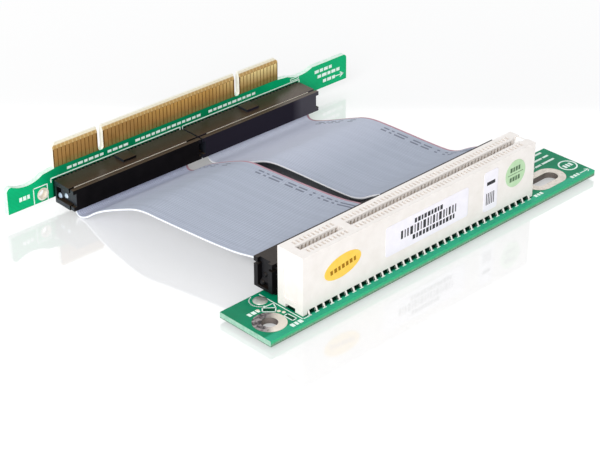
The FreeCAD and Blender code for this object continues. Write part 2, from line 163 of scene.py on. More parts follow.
# Soldered ends: their lengths, the foot as (radius, height) and the tip as (radius, share of the length)
CARD_TAIL = 1.1
SLOT_TAIL = 0.8
CONE_FOOT = ((0.56, 0.0), (0.4, 0.12), (0.27, 0.35))
CONE_TIP = ((0.22, 0.8), (0.12, 0.97), (0.0, 1.0))
CONE_SIDES = 8

# Ribbon cables
WAYS = 60
WAY_PITCH = 0.635
WAY_R = 0.35
WAY_STEPS = 4
CUT_SQUEEZE = 0.45
RIBBON_W = WAYS * WAY_PITCH
RIBBON_DEPTH = 7.35
CARD_CUT_Z = 8.8
CARD_EXIT_Z = 2.3
SLOT_CUT_Y = 7.11
SLOT_ENTRY_Y = 13.61
SLOT_RIBBON_Z = 9.9
REST_Z = 0.35
NEAR_OFFSET = -1.2
FAR_OFFSET = 0.1
ROUTE_STEPS = 10
ROUTE_ORDER = 3

# Free routes of the ribbons' centre lines from the card's connector to the slot's, as (y, z)
NEAR_ROUTE = (
    (74.91, CARD_EXIT_Z), (74.91, REST_Z), (71.9, REST_Z), (66.9, 4.3), (58.5, 7.9), (52.2, 10.1),
    (45.0, 9.6), (22.5, 8.75), (14.8, SLOT_RIBBON_Z), (SLOT_ENTRY_Y, SLOT_RIBBON_Z),
)
FAR_ROUTE = (
    (73.85, CARD_EXIT_Z), (73.85, REST_Z), (70.0, REST_Z), (58.0, 5.1), (52.2, 7.25), (45.0, 7.0),
    (29.5, 5.65), (22.8, 5.5), (18.0, 8.5), (14.8, SLOT_RIBBON_Z), (SLOT_ENTRY_Y, SLOT_RIBBON_Z),
)

# Noise and grain of the materials
NOISE_RANGE = (0.3, 0.7)
NOISE_DETAIL = 3.0
NOISE_ROUGHNESS = 0.55
GRAIN_FINER = 9
GRAIN_DETAIL = 2.0
GRAIN_BUMP = 0.35
GLOSS_SPREAD = 0.08
BUMP_FILTER = 1.0
SOFT_EDGE = 0.12
EDGE_SAMPLES = 4

# Zones of the materials, each from where it starts to where it is full
# Turn of a face towards an axis
FACING = (0.6, 0.7)
# On the edge card: brighter wings, shade of the connectors, bare tongue and its bevel
RIGHT_WING = (22.0, 42.0)
LEFT_WING = (-38.0, -46.0)
SOCKET_SHADE_X = (44.2, 43.8)
SOCKET_SHADE_Z = (9.15, 8.75)
TONGUE_Z = (FINGER_BASE - 0.2, FINGER_BASE - 0.1)
BEVEL_Z = (BEVEL_BASE - 0.2, BEVEL_BASE)
BEVEL_TOP_Z = (BEVEL_BASE + 0.75, BEVEL_BASE + 1.0)
FINGER_SHARE = 0.36
# On the fingers: those in the middle and at the far end, and their tips, brighter by painted reflection,
# and their feet
MIDDLE_FINGER_REFLECTION = (-14.0, -2.0)
FAR_FINGER_REFLECTION = (14.0, 32.0)
FINGER_REFLECTION_Z = (FINGER_BASE + 1.2, FINGER_BASE + 5.0)
FINGER_FOOT_Z = (FINGER_BASE + 2.0, FINGER_BASE + 0.4)
# On the slot board: the strip before the housing, brighter by a painted reflection, its shade,
# and the layers of the cut edge, whose foot is darker by a painted shade
REFLECTION_STRIP_Y = (HOUSING_FRONT, HOUSING_FRONT - 0.6)
HOUSING_SHADE_X = (42.4, 42.2)
HOUSING_SHADE_Y = (4.95, 4.35)
EDGE_TOP_Z = (SLOT_BOARD_LOW + 0.5, SLOT_BOARD_LOW + 1.0)
EDGE_FOOT_SHADE_Z = (SLOT_BOARD_LOW, SLOT_BOARD_LOW + 0.3)
INNER_FEET_X = (SLOT_HALF_LENGTH - 0.1, SLOT_HALF_LENGTH - 0.2)
# On the mounting holes: clean tin to the right of the round hole, and a little less clean far from it
CLEAN_TIN = (-1.0, 1.8)
FAR_TIN = (20.0, 30.0)
# On the card's connectors: the far one and its end, where the front has a painted highlight
FAR_SOCKET_HIGHLIGHT_X = (-8.0, -6.0)
FAR_SOCKET_HIGHLIGHT_END_X = (27.0, 30.5)
# Along the ribbons: the cut end at the card, and the stretch in the slot's connector, dark by painted shade
CUT_END = (0.3, 0.6)
SLOT_END_SHADE = (70.0, 70.5)
# Waves of the tracks under the boards' mask, as scale, distortion, detail and scale of the detail
TRACK_WAVE = (0.45, 2.2, 2.0, 1.2)
# Stretch of the wiped marks on gold, and of the streaks along the ribbons
WIPE_STRETCH = (2.4, 1.0, 0.25)
STREAK_STRETCH = 0.08
# Ribbons: share of the first way that is white, a painted highlight, and print as rows' ways, half their
# width, and marks as (length, share left out)
EDGE_HIGHLIGHT_SHARE = 0.12
PRINT_WAYS = (54.2, 56.4)
PRINT_HALF = 0.6
PRINT_MARKS = ((0.9, 0.3), (7.0, 0.35))


# Placement

def in_slot_frame(x, y, z):
    return ORIGIN + Vector((x, y, z)) * MM


def on_card(x, y, z):
    """Place on the edge card: x along it, y up it, z out of its front face."""
    flat = Matrix.Rotation(CARD_TURN, 3, "Z") @ Vector((x, -z, 0)) + CARD_AT
    return in_slot_frame(flat.x, flat.y, y)


def behind_card(x, y, z):
    """Place on the edge card's rear face, with z out of that face."""
    return on_card(x, y, -BOARD_T - z)


def on_slot_board(x, y, z):
    return in_slot_frame(x, y, SLOT_BOARD_TOP + z)


def under_slot_board(x, y, z):
    """Place on the slot board's lower face, with z out of that face."""
    return in_slot_frame(x, y, SLOT_BOARD_LOW - z)


def on_label(x, y, z):
    """Place on the labels of the slot's front face: x along it, y up, z out of the label."""
    return in_slot_frame(x, HOUSING_FRONT - LABEL_T - z, y)


def on_oval(x, y, z):
    """Place on the oval sticker, from its middle and along its long axis."""
    along = Matrix.Rotation(OVAL_TURN, 2) @ Vector((x, y))
    return on_label(OVAL_AT[0] + along.x, OVAL_AT[1] + along.y, z)


# Meshes

class Form:
    """Mesh under construction: flat shapes and turned ones, put into the frame by a placement."""

    def __init__(self, place):
        self.place = place
        self.points = []
        self.faces = []

    def add(self, points, faces):
        base = len(self.points)
        self.points += [self.place(*p) for p in points]
        self.faces += [[base + n for n in face] for face in faces]

    def prism(self, corners, low, high):
        n = len(corners)
        self.add(
            [(x, y, z) for z in (low, high) for x, y in corners],
            [list(range(n))[::-1], list(range(n, 2 * n))]
            + [(k, (k + 1) % n, n + (k + 1) % n, n + k) for k in range(n)],
        )

    def slab(self, x0, x1, y0, y1, low, high):
        self.prism([(x0, y0), (x1, y0), (x1, y1), (x0, y1)], low, high)

    def stroke(self, points, width):
        """Inked line on a board or label."""
        for (x0, y0), (x1, y1) in zip(points, points[1:]):
            length = math.hypot(x1 - x0, y1 - y0)
            ux, uy = (x1 - x0) / length * width / 2, (y1 - y0) / length * width / 2
            self.prism(
                [(x0 - ux + uy, y0 - uy - ux), (x1 + ux + uy, y1 + uy - ux),
                 (x1 + ux - uy, y1 + uy + ux), (x0 - ux - uy, y0 - uy + ux)],
                0, INK_T,
            )

    def bars(self, x, y, lengths, height, gap):
        """Row of plain inked bars, in place of a line of print."""
        for length in lengths:
            self.slab(x, x + length, y - height / 2, y + height / 2, 0, INK_T)
            x += length + gap

    def turned(self, middle, profile, sides, stretch=0.0):
        """Form turned about an upright axis from (radius, z); stretch parts its two halves along x."""
        n = len(profile)
        points, faces = [], []
        for k in range(sides):
            angle = math.tau * (k + 0.5) / sides
            along, across = math.cos(angle), math.sin(angle)
            shift = stretch if along > 0 else -stretch
            points += [(middle[0] + r * along + shift, middle[1] + r * across, z) for r, z in profile]
            here, there = k * n, (k + 1) % sides * n
            faces += [(here + m, there + m, there + m + 1, here + m + 1) for m in range(n - 1)]
        self.add(points, faces)

    def piece(self, name, paint, slot, replaces=(), smooth=False):
        mesh = bpy.data.meshes.new(name)
        mesh.from_pydata(self.points, [], self.faces)
        for polygon in mesh.polygons:
            polygon.use_smooth = smooth
        settled(name, mesh, paint, replaces)


def settled(name, mesh, paint, replaces=()):
    """Object of a mesh, which rides on the part and may stand for some of its solids."""
    mesh.validate()
    mesh.materials.append(paint.material)
    thing = bpy.data.objects.new(name, mesh)
    bpy.context.scene.collection.objects.link(thing)
    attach(thing, "root")
    if replaces:
        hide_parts(*replaces)


# Materials

def rgb(red, green, blue):
    """Linear colour from sRGB display values of 0 to 255."""
    def linear(value):
        value /= 255
        return value / 12.92 if value <= 0.04045 else ((value + 0.055) / 1.055) ** 2.4
    return linear(red), linear(green), linear(blue), 1.0


class Nodes:
    """Short calls for the nodes of a material or a world."""

    def __init__(self, tree):
        self.tree = tree

    def join(self, value, socket):
        """Feed a socket by a link from another one, or give it a plain value."""
        if isinstance(value, bpy.types.NodeSocket):
            self.tree.links.new(value, socket)
        elif value is not None:
            socket.default_value = value

    def node(self, kind, *inputs, **settings):
        node = self.tree.nodes.new("ShaderNode" + kind)
        for key, value in settings.items():
            setattr(node, key, value)
        for value, socket in zip(inputs, node.inputs):
            self.join(value, socket)
        return node

    def math(self, operation, *inputs):
        return self.node("Math", *inputs, operation=operation).outputs[0]

    def times(self, product, *factors):
        for factor in factors:
            product = self.math("MULTIPLY", product, factor)
        return product

    def size(self, value):
        return self.math("ABSOLUTE", value)


class Paint(Nodes):
    """Node material around a Principled shader, with short calls for what varies it."""

    def __init__(self, name, **sockets):
        self.material = bpy.data.materials.new(name)
        self.material.use_nodes = True
        super().__init__(self.material.node_tree)
        self.shader = self.tree.nodes["Principled BSDF"]
        self.set(**sockets)

    def set(self, **sockets):
        for name, value in sockets.items():
            self.join(value, self.shader.inputs[name.replace("_", " ")])

    def colour(self):
        """What feeds the base colour so far."""
        return self.shader.inputs["Base Color"].links[0].from_socket

    def slot_place(self):
        """Millimetres from the slot's middle."""
        coordinates = self.node("TexCoord").outputs["Object"]
        return self.node("Mapping", coordinates, -ORIGIN / MM, None, (1 / MM,) * 3).outputs[0]

    def card_place(self):
        """Millimetres on the edge card: along it, behind its front face and up."""
        turn = Matrix.Rotation(-CARD_TURN, 3, "Z")
        coordinates = self.node("TexCoord").outputs["Object"]
        shift = -(turn @ (ORIGIN / MM + CARD_AT))
        return self.node("Mapping", coordinates, shift, (0, 0, -CARD_TURN), (1 / MM,) * 3).outputs[0]

    def parts(self, vector):
        return self.node("SeparateXYZ", vector).outputs

    def normal(self):
        """Parts of the direction that a face looks in."""
        return self.parts(self.node("NewGeometry").outputs["True Normal"])

    def noise(self, place, scale, detail=NOISE_DETAIL):
        return self.node("TexNoise", place, None, scale, detail, NOISE_ROUGHNESS).outputs["Fac"]

    def chance(self, number):
        """Value of 0 to 1 that is different for each number, and always the same for one."""
        return self.node("TexWhiteNoise", None, number, noise_dimensions="1D").outputs["Value"]

    def step(self, value, start, end, low=0.0, high=1.0):
        """Value that goes from low to high between start and end."""
        return self.node("MapRange", value, start, end, low, high, clamp=True).outputs[0]

    def spread(self, noise, low=0.0, high=1.0):
        """Noise spread out from low to high."""
        return self.step(noise, *NOISE_RANGE, low, high)

    def mix(self, factor, first, second):
        return self.node("MixRGB", factor, first, second).outputs[0]

    def bump(self, height, strength, depth, normal=None):
        bumped = self.node("Bump", strength, depth * MM, BUMP_FILTER, height, normal)
        self.set(Normal=bumped.outputs[0])

    def rounded(self, radius):
        """Edges that catch the light as if rounded."""
        return self.node("Bevel", radius * MM, samples=EDGE_SAMPLES).outputs[0]


def grained(paint, base, dark, scale, roughness, depth, edge):
    """Colour, gloss and fine surface of a moulded or printed piece, with edges softened by edge, if any."""
    place = paint.slot_place()
    cloud = paint.noise(place, scale)
    grain = paint.noise(place, scale * GRAIN_FINER, GRAIN_DETAIL)
    paint.set(
        Base_Color=paint.mix(paint.spread(cloud), dark, base),
        Roughness=paint.spread(grain, roughness - GLOSS_SPREAD, roughness + GLOSS_SPREAD),
    )
    paint.bump(grain, GRAIN_BUMP, depth, paint.rounded(edge) if edge else None)
    return paint


def plastic_paint(name, base, dark, roughness, specular):
    paint = Paint(name, Specular_IOR_Level=specular)
    return grained(paint, base, dark, scale=0.3, roughness=roughness, depth=0.004, edge=SOFT_EDGE)


def film_paint(name, base, dark):
    paint = Paint(name, Specular_IOR_Level=0.2)
    return grained(paint, base, dark, scale=0.5, roughness=0.36, depth=0.002, edge=SOFT_EDGE)


def ink_paint(name, base, dark):
    paint = Paint(name, Specular_IOR_Level=0.1)
    return grained(paint, base, dark, scale=0.9, roughness=0.5, depth=0.002, edge=None)


def card_colours(paint, place, normal, cloud, patchy):
    """Colours of the edge card's faces and of its cut edges.

    The wings are brighter, the connectors shade the front, and the tongue is bare and tan with a pale bevel.
    """
    x, _, z = paint.parts(place)
    green = paint.mix(paint.spread(cloud), rgb(0, 122, 78), rgb(6, 140, 92))
    wing = paint.math("MAXIMUM", paint.step(x, *RIGHT_WING), paint.step(x, *LEFT_WING))
    green = paint.mix(wing, green, paint.mix(cloud, rgb(2, 160, 104), rgb(6, 190, 124)))
    along = paint.size(paint.math("SUBTRACT", x, CARD_SOCKETS[0]))
    front = paint.step(normal[1], 0.0, -0.5)
    shade = paint.times(paint.step(z, *SOCKET_SHADE_Z), paint.step(along, *SOCKET_SHADE_X), front)
    green = paint.mix(shade, green, rgb(0, 46, 30))
    position = paint.math("FRACT", paint.math("DIVIDE", x, PITCH))
    below_finger = paint.math("COMPARE", position, 0.5, FINGER_SHARE)
    bevel = paint.mix(paint.times(below_finger, 0.7), rgb(206, 176, 120), rgb(178, 136, 78))
    bevel = paint.mix(paint.step(z, *BEVEL_TOP_Z), bevel, rgb(240, 232, 208))
    tan = paint.mix(patchy, rgb(102, 70, 28), rgb(126, 92, 46))
    tan = paint.mix(paint.step(z, *BEVEL_Z), tan, bevel)
    tongue = paint.step(z, *TONGUE_Z)
    cut = paint.mix(patchy, rgb(206, 236, 218), rgb(234, 248, 240))
    return paint.mix(tongue, green, tan), paint.mix(tongue, cut, rgb(242, 240, 228))


def slot_board_colours(paint, place, normal, cloud, patchy):
    """Colours of the slot board's faces and of its cut edges.

    The strip before the housing is brighter by a painted reflection, the housing shades the board below
    it, and the cut edge is darker at its foot by a painted shade.
    """
    x, y, z = paint.parts(place)
    green = paint.mix(paint.spread(cloud), rgb(0, 122, 85), rgb(6, 140, 100))
    # Painted reflection: the strip before the housing is a paler green
    reflection_strip = paint.mix(cloud, rgb(36, 152, 116), rgb(54, 180, 142))
    green = paint.mix(paint.step(y, *REFLECTION_STRIP_Y), green, reflection_strip)
    shade = paint.times(
        paint.step(paint.size(y), *HOUSING_SHADE_Y),
        paint.step(paint.size(x), *HOUSING_SHADE_X),
        paint.step(normal[2], 0.0, 0.5),
    )
    green = paint.mix(shade, green, rgb(0, 44, 28))
    core = paint.mix(patchy, rgb(98, 146, 116), rgb(136, 168, 142))
    cut = paint.mix(paint.step(z, *EDGE_TOP_Z), core, rgb(56, 180, 128))
    end = paint.mix(patchy, rgb(138, 184, 162), rgb(162, 200, 180))
    cut = paint.mix(paint.step(paint.size(normal[0]), *FACING), cut, end)
    # Painted shade: the cut edge is darker at its foot
    cut = paint.mix(paint.step(z, *EDGE_FOOT_SHADE_Z), rgb(66, 92, 70), cut)
    return green, cut


def board_paint(name, card):
    """Green mask over glass laminate, with faint tracks, on the edge card or on the slot board."""
    paint = Paint(name, Specular_IOR_Level=0.08)
    place = paint.card_place() if card else paint.slot_place()
    colours = card_colours if card else slot_board_colours
    normal = paint.normal()
    cloud = paint.noise(place, 0.16)
    glass = paint.noise(place, 1.6)
    green, cut = colours(paint, place, normal, cloud, paint.step(glass, 0.35, 0.65))
    tracks = paint.node("TexWave", place, *TRACK_WAVE, bands_direction="DIAGONAL").outputs["Fac"]
    green = paint.mix(paint.step(tracks, 0.78, 0.86, 0.0, 0.08), green, rgb(0, 112, 72))
    facing = paint.size(normal[1] if card else normal[2])
    paint.set(
        Base_Color=paint.mix(paint.step(facing, *FACING), cut, green),
        Roughness=paint.spread(cloud, 0.32, 0.42),
    )
    raised = paint.step(tracks, 0.74, 0.9, 0.0, 0.6)
    paint.bump(paint.math("ADD", raised, glass), 0.25, 0.01)
    return paint


def finger_colour(paint, place, patch, wiped):
    """Gold of the card's fingers, brighter to their tips and to the card's far end by painted reflection,
    greenish at the foot.
    """
    x, _, z = paint.parts(place)
    # Painted reflection: brighter in the middle, at the far end and to the tips
    far = paint.step(x, *FAR_FINGER_REFLECTION)
    low = paint.mix(paint.spread(patch), rgb(140, 102, 50), rgb(178, 134, 76))
    low = paint.mix(far, low, rgb(160, 128, 70))
    high = paint.mix(paint.step(x, *MIDDLE_FINGER_REFLECTION), rgb(180, 136, 76), rgb(212, 163, 86))
    high = paint.mix(far, high, rgb(255, 232, 160))
    colour = paint.mix(paint.step(z, *FINGER_REFLECTION_Z), low, high)
    colour = paint.mix(paint.step(z, *FINGER_FOOT_Z, 0.0, 0.6), colour, rgb(112, 128, 72))
    return paint.mix(paint.step(wiped, 0.45, 0.75, 0.0, 0.35), colour, rgb(186, 146, 92))


def gold_paint(name, card):
    """Gold plating, browned in patches, on the edge card or in the slot."""
    paint = Paint(name, Metallic=0.15, Specular_IOR_Level=0.2)
    place = paint.card_place() if card else paint.slot_place()
    patch = paint.noise(place, 0.22)
    wiped = paint.noise(paint.node("Mapping", place, None, None, WIPE_STRETCH).outputs[0], 1.0)
    if card:
        colour = finger_colour(paint, place, patch, wiped)
    else:
        colour = paint.mix(paint.spread(patch), rgb(196, 158, 104), rgb(220, 186, 134))
    paint.set(Base_Color=colour, Roughness=paint.spread(wiped, 0.3, 0.5))
    paint.bump(wiped, 0.15, 0.01)
    return paint


def tin_paint(name, stained):
    """Dull solder; the stained one is smudged dark to the left of the round mounting hole's middle."""
    paint = Paint(name, Metallic=0.5)
    place = paint.slot_place()
    if stained:
        x, y, _ = paint.parts(place)
        right = paint.math("SUBTRACT", paint.math("SUBTRACT", x, y), HOLE_AT[0] - HOLE_AT[1])
        far = paint.step(right, *FAR_TIN, 0.0, 0.35)
        clean = paint.math("SUBTRACT", paint.step(right, *CLEAN_TIN), far)
        smudge = paint.step(paint.noise(place, 0.9), 0.42, 0.58)
        dull = paint.mix(smudge, rgb(52, 48, 50), rgb(150, 142, 142))
        colour = paint.mix(clean, dull, rgb(228, 220, 208))
    else:
        cloud = paint.noise(place, 0.55)
        colour = paint.mix(paint.spread(cloud), rgb(150, 158, 150), rgb(196, 196, 188))
    grain = paint.noise(place, 4.0)
    paint.set(Base_Color=colour, Roughness=paint.spread(grain, 0.3, 0.48))
    paint.bump(grain, 0.4, 0.02)
    return paint


def housing_paint():
    """Ivory plastic, dark on the sides of the feet, which the housing shades, and white on the end ramp,
    as a painted highlight.
    """
    paint = plastic_paint("slot_ivory", rgb(244, 239, 235), rgb(238, 232, 227), 0.42, 0.2)
    x, _, z = paint.parts(paint.slot_place())
    normal = paint.normal()
    side = paint.math("GREATER_THAN", paint.size(normal[0]), 0.5)
    low = paint.math("LESS_THAN", z, SLOT_BOARD_TOP + FOOT_RISE)
    inner = paint.step(paint.size(x), *INNER_FEET_X)
    # Painted highlight: faces turned left and up, on the end ramp, are whiter
    ramp = paint.times(paint.step(normal[0], -0.3, -0.4), paint.step(normal[2], 0.3, 0.4))
    colour = paint.mix(ramp, paint.colour(), rgb(255, 254, 252))
    paint.set(Base_Color=paint.mix(paint.times(side, low, inner), colour, rgb(22, 54, 42)))
    return paint


def black_paint(name, shine):
    """Black plastic; shine is how much its upper faces gleam warm and its left ones cool, by their gloss
    and by a painted sheen in their colour.

    The front of the far connector is a little greyer, most at its end, by a painted highlight.
    """
    paint = plastic_paint(name, rgb(20, 18, 20), rgb(13, 12, 14), 0.38, 0.0)
    x, _, _ = paint.parts(paint.slot_place())
    normal = paint.normal()
    upper = paint.step(normal[2], 0.3, 0.9, 0.0, shine)
    left = paint.step(normal[0], -0.5, -0.9, 0.0, shine)
    front = paint.step(normal[1], -0.5, -0.9, 0.0, shine)
    # Painted sheen: upper faces warm and left faces cool, as much as shine
    colour = paint.mix(upper, paint.colour(), rgb(56, 44, 34))
    colour = paint.mix(left, colour, rgb(34, 38, 46))
    # Painted highlight: the far connector's front is greyer, most at its end
    grey = paint.mix(paint.step(x, *FAR_SOCKET_HIGHLIGHT_END_X), rgb(34, 31, 42), rgb(74, 72, 80))
    paint.set(
        Base_Color=paint.mix(paint.times(front, paint.step(x, *FAR_SOCKET_HIGHLIGHT_X)), colour, grey),
        Specular_IOR_Level=paint.step(paint.math("MAXIMUM", upper, left), 0.0, 1.0, 0.06, 0.5),
        Specular_Tint=paint.mix(left, (1, 0.84, 0.7, 1), (0.84, 0.93, 1, 1)),
    )
    return paint


def ribbon_paint(name, painted_light, light_reach):
    """Grey insulation, each way a little different, and paler within reach of the card by painted light.

    The first way's edge is white, a painted highlight, the last way is pale red, dashes are printed on the
    upper side, and the stretch in the slot's connector is dark, a painted shade.
    """
    paint = Paint(name, Specular_IOR_Level=0.15)
    way, along, _ = paint.parts(paint.node("TexCoord").outputs["UV"])
    number = paint.math("FLOOR", way)
    stretched = paint.node("CombineXYZ", number, paint.times(along, STREAK_STRETCH)).outputs[0]
    streak = paint.noise(stretched, 1.0)
    grey = paint.mix(paint.chance(number), rgb(164, 171, 186), rgb(171, 178, 193))
    # Painted light: paler within reach of the card
    grey = paint.mix(paint.step(along, light_reach, light_reach * 0.3, 0.0, 0.9), grey, painted_light)
    grey = paint.mix(paint.step(streak, 0.35, 0.7, 0.0, 0.15), grey, rgb(186, 192, 206))
    rows = [paint.math("COMPARE", way, row, PRINT_HALF) for row in PRINT_WAYS]
    upper = paint.math("GREATER_THAN", paint.normal()[2], 0.0)
    inked = paint.times(paint.math("MAXIMUM", *rows), upper)
    for length, left_out in PRINT_MARKS:
        mark = paint.math("FLOOR", paint.math("DIVIDE", along, length))
        inked = paint.times(inked, paint.math("GREATER_THAN", paint.chance(mark), left_out))
    grey = paint.mix(paint.times(inked, 0.75), grey, rgb(98, 102, 118))
    red = paint.mix(paint.step(streak, 0.35, 0.65), rgb(172, 128, 140), rgb(186, 146, 158))
    colour = paint.mix(paint.math("GREATER_THAN", way, WAYS - 1.0), grey, red)
    # Painted highlight: the first way's edge is white
    colour = paint.mix(paint.math("LESS_THAN", way, EDGE_HIGHLIGHT_SHARE), colour, rgb(244, 246, 250))
    colour = paint.mix(paint.step(along, *CUT_END), rgb(222, 212, 198), colour)
    # Painted shade: the stretch in the slot's connector is dark
    colour = paint.mix(paint.step(along, *SLOT_END_SHADE), colour, rgb(44, 42, 46))
    paint.set(Base_Color=colour, Roughness=paint.spread(streak, 0.4, 0.52))
    paint.bump(streak, 0.1, 0.02)
    return paint


# Ribbon cables

def route_points(name, route):
    """Smooth centre line through a route, as (y, z)."""
    curve = bpy.data.curves.new(name, "CURVE")
    curve.dimensions = "3D"
    curve.resolution_u = ROUTE_STEPS
    spline = curve.splines.new("NURBS")
    spline.points.add(len(route) - 1)
    for point, (y, z) in zip(spline.points, route):
        point.co = (0, y, z, 1)
    spline.order_u = ROUTE_ORDER
    spline.use_endpoint_u = True
    holder = bpy.data.objects.new(name, curve)
    mesh = bpy.data.meshes.new_from_object(holder)
    points = [(v.co.y, v.co.z) for v in mesh.vertices]
    bpy.data.objects.remove(holder)
    bpy.data.meshes.remove(mesh)
    bpy.data.curves.remove(curve)
    return points


def lobed_profile():
    """Upper side of the ribbon's section, as (place across, height, way); the lower side mirrors it."""
    profile = []
    for n in range(WAYS):
        middle = (n + 0.5) * WAY_PITCH - RIBBON_W / 2
        for k in range(WAY_STEPS + (n == WAYS - 1)):
            s = (k / WAY_STEPS - 0.5) * WAY_PITCH
            profile.append((middle + s, math.sqrt(WAY_R ** 2 - s ** 2), n + k / WAY_STEPS))
    return profile


def ribbon(name, side, offset, route, paint):
    """Ribbed flat cable from its cut end at the card to its cut end at the slot."""
    free = route_points(name + "_route", route)
    line = [(free[0][0], CARD_CUT_Z)] + free + [(SLOT_CUT_Y, SLOT_RIBBON_Z)]
    last = len(line) - 1
    profile = lobed_profile()
    section = profile + [(across, -height, way) for across, height, way in reversed(profile)]
    card_x = CARD_SOCKETS[0] + side * SOCKET_STEP / 2 + offset
    slot_x = SLOT_SOCKETS[0] + side * SOCKET_STEP / 2 + offset
    turn = Matrix.Rotation(CARD_TURN, 3, "Z")
    points, marks, along = [], [], 0.0
    for n, (y, z) in enumerate(line):
        before, after = line[max(n - 1, 0)], line[min(n + 1, last)]
        ahead = Vector((after[0] - before[0], after[1] - before[1])).normalized()
        along += math.dist((y, z), before)
        share = max(0.0, (y - SLOT_ENTRY_Y) / (line[0][0] - SLOT_ENTRY_Y))
        squeeze = CUT_SQUEEZE if n in (0, last) else 1.0
        for across, height, way in section:
            at_card = turn @ Vector((card_x + across, -RIBBON_DEPTH, 0)) + CARD_AT
            x = slot_x + across + share * (at_card.x - slot_x - across)
            tilt = share * (at_card.y - line[0][0])
            rise = height * squeeze
            points.append(in_slot_frame(x, y + tilt + ahead.y * rise, z - ahead.x * rise))
            marks.append((way, along))
    around = len(section)
    faces = []
    for here in range(0, last * around, around):
        there = here + around
        faces += [
            (here + k, here + (k + 1) % around, there + (k + 1) % around, there + k)
            for k in range(around)
        ]
    for end in (0, last * around):
        below = end + around - 1
        faces += [(end + k, end + k + 1, below - k - 1, below - k) for k in range(len(profile) - 1)]
    mesh = bpy.data.meshes.new(name)
    mesh.from_pydata(points, [], faces)
    layer = mesh.uv_layers.new(name="ways")
    for loop in mesh.loops:
        layer.data[loop.index].uv = marks[loop.vertex_index]
    for polygon in mesh.polygons:
        polygon.use_smooth = True
    settled(name, mesh, paint, (name.removesuffix("_cable"),))


# Fine pieces on the connectors and boards

def socket_ribs(name, place, middle, sign, paint):
    """Row of moulded ribs that stand the connector off its board, on the side of the ribbon's cut end."""
    form = Form(place)
    count = round(SOCKET_LENGTH / PITCH) - 1
    edge = middle[1] + sign * SOCKET_WIDTH / 2
    low, high = sorted((edge, edge - sign * RIB_DEPTH))
    for n in range(count):
        x = middle[0] + (n - (count - 1) / 2) * PITCH
        form.slab(x - RIB_HALF, x + RIB_HALF, low, high, RIB_FOOT, SOCKET_STANDOFF)
    form.piece(name, paint, "connector_black")


def solder_cones(name, place, places, height, paint):
    """Soldered pin ends, each a flared cone with the pin's tip in it."""
    form = Form(place)
    profile = [*CONE_FOOT, *((radius, height * share) for radius, share in CONE_TIP)]
    for at in places:
        form.turned(at, profile, CONE_SIDES)
    form.piece(name + "_cones", paint, "solder_tin", (name,), smooth=True)


def socket_pins(middle, sign):
    columns = [(n - (PINS_PER_ROW - 1) / 2) * PITCH for n in range(PINS_PER_ROW)]
    return [(middle[0] + x, middle[1] + sign * y) for y in PIN_ROWS for x in columns]


def socket_bosses(name, place, middle, sign, end, paint):
    """Rounded bosses in the pocket at one end of a ribbon connector."""
    tip = middle[0] + end * SOCKET_LENGTH / 2
    form = Form(lambda across, out, depth: place(tip - end * depth, across, out))
    for across, out, radius, depth in SOCKET_BOSSES:
        dome = [(radius * share, depth - rise) for share, rise in BOSS_DOME]
        form.turned((middle[1] + sign * across, out), dome, BOSS_SIDES)
    form.piece(name, paint, "connector_black", smooth=True)


def lined_hole(name, place, middle, hole_r, pad_r, paint, stretch=0.0):
    """Tinned lining of a hole, and the pad around it on the board's other face."""
    form = Form(place)
    wall_r, rear = hole_r - LINING_T, -BOARD_T - INK_T
    profile = [(wall_r, 0.0), (wall_r, rear), (pad_r, rear), (pad_r, -BOARD_T)]
    form.turned(middle, profile, HOLE_SIDES, stretch)
    form.piece(name, paint, "solder_tin")


def arc_points(middle, radius, start, end, count):
    """Points on an arc between two angles in degrees."""
    angles = [math.radians(start + (end - start) * n / count) for n in range(count + 1)]
    return [(middle[0] + radius * math.cos(a), middle[1] + radius * math.sin(a)) for a in angles]


def printed(place, lines, rows):
    """Print on a board or label, of lines as (points, width) and rows as (x, y, lengths, height, gap)."""
    form = Form(place)
    for points, width in lines:
        form.stroke(points, width)
    for row in rows:
        form.bars(*row)
    return form


# Painting the solids

def painted(paint, *nodes):
    for node in nodes:
        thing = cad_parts[node]
        thing.data.materials.clear()
        thing.data.materials.append(paint.material)


slot_green = board_paint("slot_board_green", False)
card_green = board_paint("edge_card_green", True)
finger_gold = gold_paint("finger_gold", True)
contact_gold = gold_paint("contact_gold", False)
# Painted shade: the slot's legs are dark brown rather than the gold of its contacts
shaded_leg_brown = plastic_paint("shaded_leg_brown", rgb(46, 38, 24), rgb(30, 26, 18), 0.5, 0.1)
tin = tin_paint("solder_tin", False)
stained_tin = tin_paint("pad_tin", True)
# Painted shade: the holes' linings are darker than the solder on the pads
shaded_wall_tin = plastic_paint("shaded_wall_tin", rgb(134, 124, 118), rgb(104, 96, 92), 0.4, 0.3)
bright_tin = plastic_paint("bright_tin", rgb(240, 234, 222), rgb(222, 206, 182), 0.35, 0.4)
card_black = black_paint("card_connector_black", 1.0)
slot_black = black_paint("slot_connector_black", 0.25)
# Painted highlight: the card connectors' bosses are a pale blue-grey
boss_highlight = plastic_paint("boss_highlight", rgb(204, 218, 232), rgb(150, 168, 188), 0.28, 0.5)
ivory = housing_paint()
